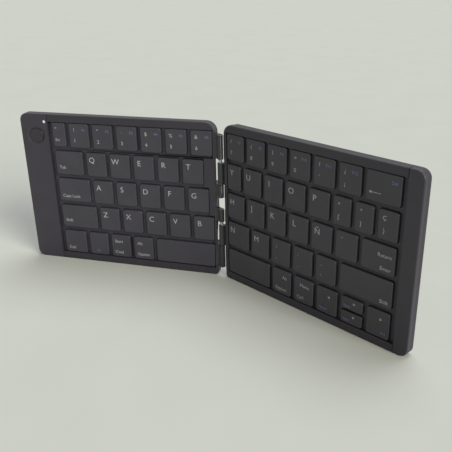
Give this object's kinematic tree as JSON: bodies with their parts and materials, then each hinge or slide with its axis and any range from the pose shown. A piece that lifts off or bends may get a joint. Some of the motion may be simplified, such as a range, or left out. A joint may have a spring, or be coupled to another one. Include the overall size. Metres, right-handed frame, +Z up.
{
  "type": "folding keyboard",
  "caption": "Pocket keyboard in two key halves that fold shut like a book on interleaved hinge knuckles, standing open on its front edges with the keys facing forward.",
  "frame": {"origin": "on the floor under the middle of the open set, between the front edges that it stands on", "axes": "+Z up, from the space bar edge to the number row edge and along the hinge axis; +X along the set from the left half to the right half; -Y towards the user, where the keys face"},
  "size_m": [0.2434, 0.037, 0.0934],
  "materials": {
    "cover": "fine spark texture, charcoal",
    "frame": "satin charcoal",
    "side_panel": "fine matt texture, charcoal",
    "key_cap": "smooth matt, worn a little on the tops",
    "button": "smooth satin black",
    "sheet_steel": "plain sheet",
    "membrane": "clear film with printed tracks",
    "dome_rubber": "soft silicone",
    "link_plastic": "natural acetal",
    "board": "solder mask",
    "cell_foil": "pouch foil",
    "light_pipe": "clear, glowing white",
    "magnet_plate": "nickel plated",
    "foot_rubber": "matt",
    "screw_steel": "black zinc",
    "hinge_paint": "satin charcoal paint",
    "pin_steel": "ground",
    "wire_jacket": "thin jackets"
  },
  "bodies": {
    "left_half": {"left_bottom_cover": "cover", "left_key_frame": "frame", "left_side_panel": "side_panel", "left_backplate": "sheet_steel", "left_membrane": "membrane", "left_domes": "dome_rubber", "left_scissors": "link_plastic", "left_magnets": "magnet_plate", "left_feet": "foot_rubber", "left_screws": "screw_steel", "left_hinge_brackets": "hinge_paint", "main_board": "board", "battery": "cell_foil", "charging_port": "sheet_steel", "status_light": "light_pipe", "button_switch": "sheet_steel", "hinge_pins": "pin_steel", "hinge_cable": "wire_jacket"},
    "right_half": {"right_bottom_cover": "cover", "right_key_frame": "frame", "right_side_panel": "side_panel", "right_backplate": "sheet_steel", "right_membrane": "membrane", "right_domes": "dome_rubber", "right_scissors": "link_plastic", "right_magnets": "magnet_plate", "right_feet": "foot_rubber", "right_screws": "screw_steel", "right_hinge_brackets": "hinge_paint"},
    "power_button": {"power_button": "button"},
    "key_escape": {"key_escape": "key_cap"},
    "keys_left_digits": {"keys_left_digits": "key_cap"},
    "key_tab": {"key_tab": "key_cap"},
    "keys_left_top_letters": {"keys_left_top_letters": "key_cap"},
    "key_caps_lock": {"key_caps_lock": "key_cap"},
    "keys_left_home_letters": {"keys_left_home_letters": "key_cap"},
    "key_left_shift": {"key_left_shift": "key_cap"},
    "keys_left_low_letters": {"keys_left_low_letters": "key_cap"},
    "key_left_ctrl": {"key_left_ctrl": "key_cap"},
    "key_function": {"key_function": "key_cap"},
    "key_command": {"key_command": "key_cap"},
    "key_left_alt": {"key_left_alt": "key_cap"},
    "key_left_space": {"key_left_space": "key_cap"},
    "keys_right_digits": {"keys_right_digits": "key_cap"},
    "key_backspace": {"key_backspace": "key_cap"},
    "keys_right_top_letters": {"keys_right_top_letters": "key_cap"},
    "key_bracket_open": {"key_bracket_open": "key_cap"},
    "key_bracket_close": {"key_bracket_close": "key_cap"},
    "key_backslash": {"key_backslash": "key_cap"},
    "keys_right_home_letters": {"keys_right_home_letters": "key_cap"},
    "key_enter": {"key_enter": "key_cap"},
    "keys_right_low_letters": {"keys_right_low_letters": "key_cap"},
    "key_right_shift": {"key_right_shift": "key_cap"},
    "key_right_space": {"key_right_space": "key_cap"},
    "key_right_alt": {"key_right_alt": "key_cap"},
    "key_right_ctrl": {"key_right_ctrl": "key_cap"},
    "key_arrow_left": {"key_arrow_left": "key_cap"},
    "key_arrow_up": {"key_arrow_up": "key_cap"},
    "key_arrow_down": {"key_arrow_down": "key_cap"},
    "key_arrow_right": {"key_arrow_right": "key_cap"}
  },
  "joints": [
    {"name": "fold", "type": "hinge", "parent": "left_half", "child": "right_half", "pos_m": [0, 0.01309, 0], "axis": [0, 0, 1], "range_deg": [-150, 30]},
    {"name": "power_button_press", "type": "slide", "parent": "left_half", "child": "power_button", "axis": [-0.2588, 0.9659, 0], "range_m": [0, 0.0005], "stiffness_N_per_m": 900, "deforming": ["button_switch"]},
    {"name": "key_escape_press", "type": "slide", "parent": "left_half", "child": "key_escape", "axis": [-0.2588, 0.9659, 0], "range_m": [0, 0.0014], "stiffness_N_per_m": 350, "deforming": ["left_domes", "left_scissors"]},
    {"name": "keys_left_digits_press", "type": "slide", "parent": "left_half", "child": "keys_left_digits", "axis": [-0.2588, 0.9659, 0], "range_m": [0, 0.0014], "stiffness_N_per_m": 350, "deforming": ["left_domes", "left_scissors"]},
    {"name": "key_tab_press", "type": "slide", "parent": "left_half", "child": "key_tab", "axis": [-0.2588, 0.9659, 0], "range_m": [0, 0.0014], "stiffness_N_per_m": 350, "deforming": ["left_domes", "left_scissors"]},
    {"name": "keys_left_top_letters_press", "type": "slide", "parent": "left_half", "child": "keys_left_top_letters", "axis": [-0.2588, 0.9659, 0], "range_m": [0, 0.0014], "stiffness_N_per_m": 350, "deforming": ["left_domes", "left_scissors"]},
    {"name": "key_caps_lock_press", "type": "slide", "parent": "left_half", "child": "key_caps_lock", "axis": [-0.2588, 0.9659, 0], "range_m": [0, 0.0014], "stiffness_N_per_m": 350, "deforming": ["left_domes", "left_scissors"]},
    {"name": "keys_left_home_letters_press", "type": "slide", "parent": "left_half", "child": "keys_left_home_letters", "axis": [-0.2588, 0.9659, 0], "range_m": [0, 0.0014], "stiffness_N_per_m": 350, "deforming": ["left_domes", "left_scissors"]},
    {"name": "key_left_shift_press", "type": "slide", "parent": "left_half", "child": "key_left_shift", "axis": [-0.2588, 0.9659, 0], "range_m": [0, 0.0014], "stiffness_N_per_m": 350, "deforming": ["left_domes", "left_scissors"]},
    {"name": "keys_left_low_letters_press", "type": "slide", "parent": "left_half", "child": "keys_left_low_letters", "axis": [-0.2588, 0.9659, 0], "range_m": [0, 0.0014], "stiffness_N_per_m": 350, "deforming": ["left_domes", "left_scissors"]},
    {"name": "key_left_ctrl_press", "type": "slide", "parent": "left_half", "child": "key_left_ctrl", "axis": [-0.2588, 0.9659, 0], "range_m": [0, 0.0014], "stiffness_N_per_m": 350, "deforming": ["left_domes", "left_scissors"]},
    {"name": "key_function_press", "type": "slide", "parent": "left_half", "child": "key_function", "axis": [-0.2588, 0.9659, 0], "range_m": [0, 0.0014], "stiffness_N_per_m": 350, "deforming": ["left_domes", "left_scissors"]},
    {"name": "key_command_press", "type": "slide", "parent": "left_half", "child": "key_command", "axis": [-0.2588, 0.9659, 0], "range_m": [0, 0.0014], "stiffness_N_per_m": 350, "deforming": ["left_domes", "left_scissors"]},
    {"name": "key_left_alt_press", "type": "slide", "parent": "left_half", "child": "key_left_alt", "axis": [-0.2588, 0.9659, 0], "range_m": [0, 0.0014], "stiffness_N_per_m": 350, "deforming": ["left_domes", "left_scissors"]},
    {"name": "key_left_space_press", "type": "slide", "parent": "left_half", "child": "key_left_space", "axis": [-0.2588, 0.9659, 0], "range_m": [0, 0.0014], "stiffness_N_per_m": 350, "deforming": ["left_domes", "left_scissors"]},
    {"name": "keys_right_digits_press", "type": "slide", "parent": "right_half", "child": "keys_right_digits", "axis": [0.2588, 0.9659, 0], "range_m": [0, 0.0014], "stiffness_N_per_m": 350, "deforming": ["right_domes", "right_scissors"]},
    {"name": "key_backspace_press", "type": "slide", "parent": "right_half", "child": "key_backspace", "axis": [0.2588, 0.9659, 0], "range_m": [0, 0.0014], "stiffness_N_per_m": 350, "deforming": ["right_domes", "right_scissors"]},
    {"name": "keys_right_top_letters_press", "type": "slide", "parent": "right_half", "child": "keys_right_top_letters", "axis": [0.2588, 0.9659, 0], "range_m": [0, 0.0014], "stiffness_N_per_m": 350, "deforming": ["right_domes", "right_scissors"]},
    {"name": "key_bracket_open_press", "type": "slide", "parent": "right_half", "child": "key_bracket_open", "axis": [0.2588, 0.9659, 0], "range_m": [0, 0.0014], "stiffness_N_per_m": 350, "deforming": ["right_domes", "right_scissors"]},
    {"name": "key_bracket_close_press", "type": "slide", "parent": "right_half", "child": "key_bracket_close", "axis": [0.2588, 0.9659, 0], "range_m": [0, 0.0014], "stiffness_N_per_m": 350, "deforming": ["right_domes", "right_scissors"]},
    {"name": "key_backslash_press", "type": "slide", "parent": "right_half", "child": "key_backslash", "axis": [0.2588, 0.9659, 0], "range_m": [0, 0.0014], "stiffness_N_per_m": 350, "deforming": ["right_domes", "right_scissors"]},
    {"name": "keys_right_home_letters_press", "type": "slide", "parent": "right_half", "child": "keys_right_home_letters", "axis": [0.2588, 0.9659, 0], "range_m": [0, 0.0014], "stiffness_N_per_m": 350, "deforming": ["right_domes", "right_scissors"]},
    {"name": "key_enter_press", "type": "slide", "parent": "right_half", "child": "key_enter", "axis": [0.2588, 0.9659, 0], "range_m": [0, 0.0014], "stiffness_N_per_m": 350, "deforming": ["right_domes", "right_scissors"]},
    {"name": "keys_right_low_letters_press", "type": "slide", "parent": "right_half", "child": "keys_right_low_letters", "axis": [0.2588, 0.9659, 0], "range_m": [0, 0.0014], "stiffness_N_per_m": 350, "deforming": ["right_domes", "right_scissors"]},
    {"name": "key_right_shift_press", "type": "slide", "parent": "right_half", "child": "key_right_shift", "axis": [0.2588, 0.9659, 0], "range_m": [0, 0.0014], "stiffness_N_per_m": 350, "deforming": ["right_domes", "right_scissors"]},
    {"name": "key_right_space_press", "type": "slide", "parent": "right_half", "child": "key_right_space", "axis": [0.2588, 0.9659, 0], "range_m": [0, 0.0014], "stiffness_N_per_m": 350, "deforming": ["right_domes", "right_scissors"]},
    {"name": "key_right_alt_press", "type": "slide", "parent": "right_half", "child": "key_right_alt", "axis": [0.2588, 0.9659, 0], "range_m": [0, 0.0014], "stiffness_N_per_m": 350, "deforming": ["right_domes", "right_scissors"]},
    {"name": "key_right_ctrl_press", "type": "slide", "parent": "right_half", "child": "key_right_ctrl", "axis": [0.2588, 0.9659, 0], "range_m": [0, 0.0014], "stiffness_N_per_m": 350, "deforming": ["right_domes", "right_scissors"]},
    {"name": "key_arrow_left_press", "type": "slide", "parent": "right_half", "child": "key_arrow_left", "axis": [0.2588, 0.9659, 0], "range_m": [0, 0.0014], "stiffness_N_per_m": 350, "deforming": ["right_domes", "right_scissors"]},
    {"name": "key_arrow_up_press", "type": "slide", "parent": "right_half", "child": "key_arrow_up", "axis": [0.2588, 0.9659, 0], "range_m": [0, 0.0014], "stiffness_N_per_m": 350, "deforming": ["right_domes", "right_scissors"]},
    {"name": "key_arrow_down_press", "type": "slide", "parent": "right_half", "child": "key_arrow_down", "axis": [0.2588, 0.9659, 0], "range_m": [0, 0.0014], "stiffness_N_per_m": 350, "deforming": ["right_domes", "right_scissors"]},
    {"name": "key_arrow_right_press", "type": "slide", "parent": "right_half", "child": "key_arrow_right", "axis": [0.2588, 0.9659, 0], "range_m": [0, 0.0014], "stiffness_N_per_m": 350, "deforming": ["right_domes", "right_scissors"]}
  ]
}
